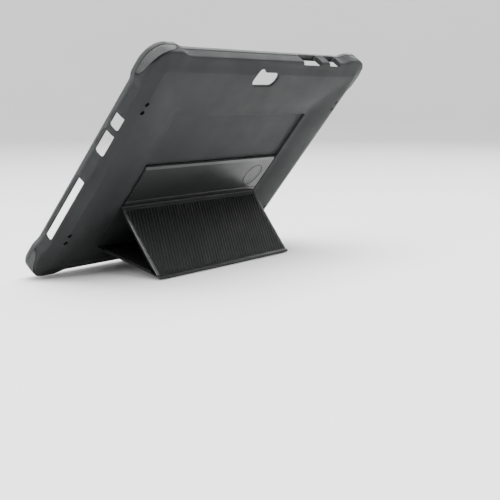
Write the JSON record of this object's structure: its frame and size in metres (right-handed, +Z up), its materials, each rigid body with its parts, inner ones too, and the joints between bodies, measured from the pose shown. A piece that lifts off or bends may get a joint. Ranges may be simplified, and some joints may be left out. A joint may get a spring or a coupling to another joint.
{
  "type": "tablet case",
  "caption": "Rugged protective case for a 10.5-inch tablet, with corner bumpers, port cut-outs, inner impact pads and a fold-out back stand held by a magnet tab.",
  "frame": {"origin": "on the surface the case stands on, under the middle of the open case's bounding box", "axes": "+Z up, +X along the case's long edge, -Y towards the stand behind the case, so the open front faces +Y and down"},
  "size_m": [0.259, 0.1258, 0.1554],
  "materials": {
    "tpu_back": "satin charcoal thermoplastic rubber",
    "tpu_frame": "satin charcoal, finely textured rim",
    "bumper": "semi-gloss charcoal",
    "stand_cover": "matt black, light sheen",
    "ribbed": "matt black with fine slanted ribs",
    "board": "matt black",
    "fold": "matt black flexible fold",
    "lining": "short black felt",
    "band": "matt grey",
    "plate": "satin grey",
    "steel": "plated",
    "pad": "bright blue shock-absorbing gel"
  },
  "bodies": {
    "shell": {"back_shell": "tpu_back", "front_rim": "tpu_frame", "bumper_bottom_left": "bumper", "bumper_bottom_right": "bumper", "bumper_top_left": "bumper", "bumper_top_right": "bumper", "floor_lining": "lining", "inlay_bands": "band", "holder_plate": "plate", "keeper_discs": "steel", "impact_pad_bottom_left": "pad", "impact_pad_bottom_right": "pad", "impact_pad_top_left": "pad", "impact_pad_top_right": "pad", "shell_fold": "fold"},
    "base_panel": {"base_cover": "stand_cover", "base_board": "board", "foot_fold": "fold"},
    "prop_panel": {"ribbed_cover": "ribbed", "prop_board": "board", "tab_fold": "fold"},
    "magnet_tab": {"tab_cover": "stand_cover", "tab_board": "board", "tab_magnets": "steel", "magnet_mark": "stand_cover"}
  },
  "joints": [
    {"name": "stand_fold", "type": "hinge", "parent": "shell", "child": "base_panel", "pos_m": [0, 0.03655, 0.01675], "axis": [1, 0, 0], "range_deg": [-67.27, 0]},
    {"name": "foot_fold", "type": "hinge", "parent": "base_panel", "child": "prop_panel", "pos_m": [0, -0.01956, 0.0012], "axis": [1, 0, 0], "range_deg": [0, 140.69]},
    {"name": "tab_fold", "type": "hinge", "parent": "prop_panel", "child": "magnet_tab", "pos_m": [0, 0.01273, 0.047], "axis": [1, 0, 0], "range_deg": [0, 100]}
  ],
  "couplings": [
    {"joint": "foot_fold", "follows": "stand_fold", "ratio": -2.0913}
  ]
}
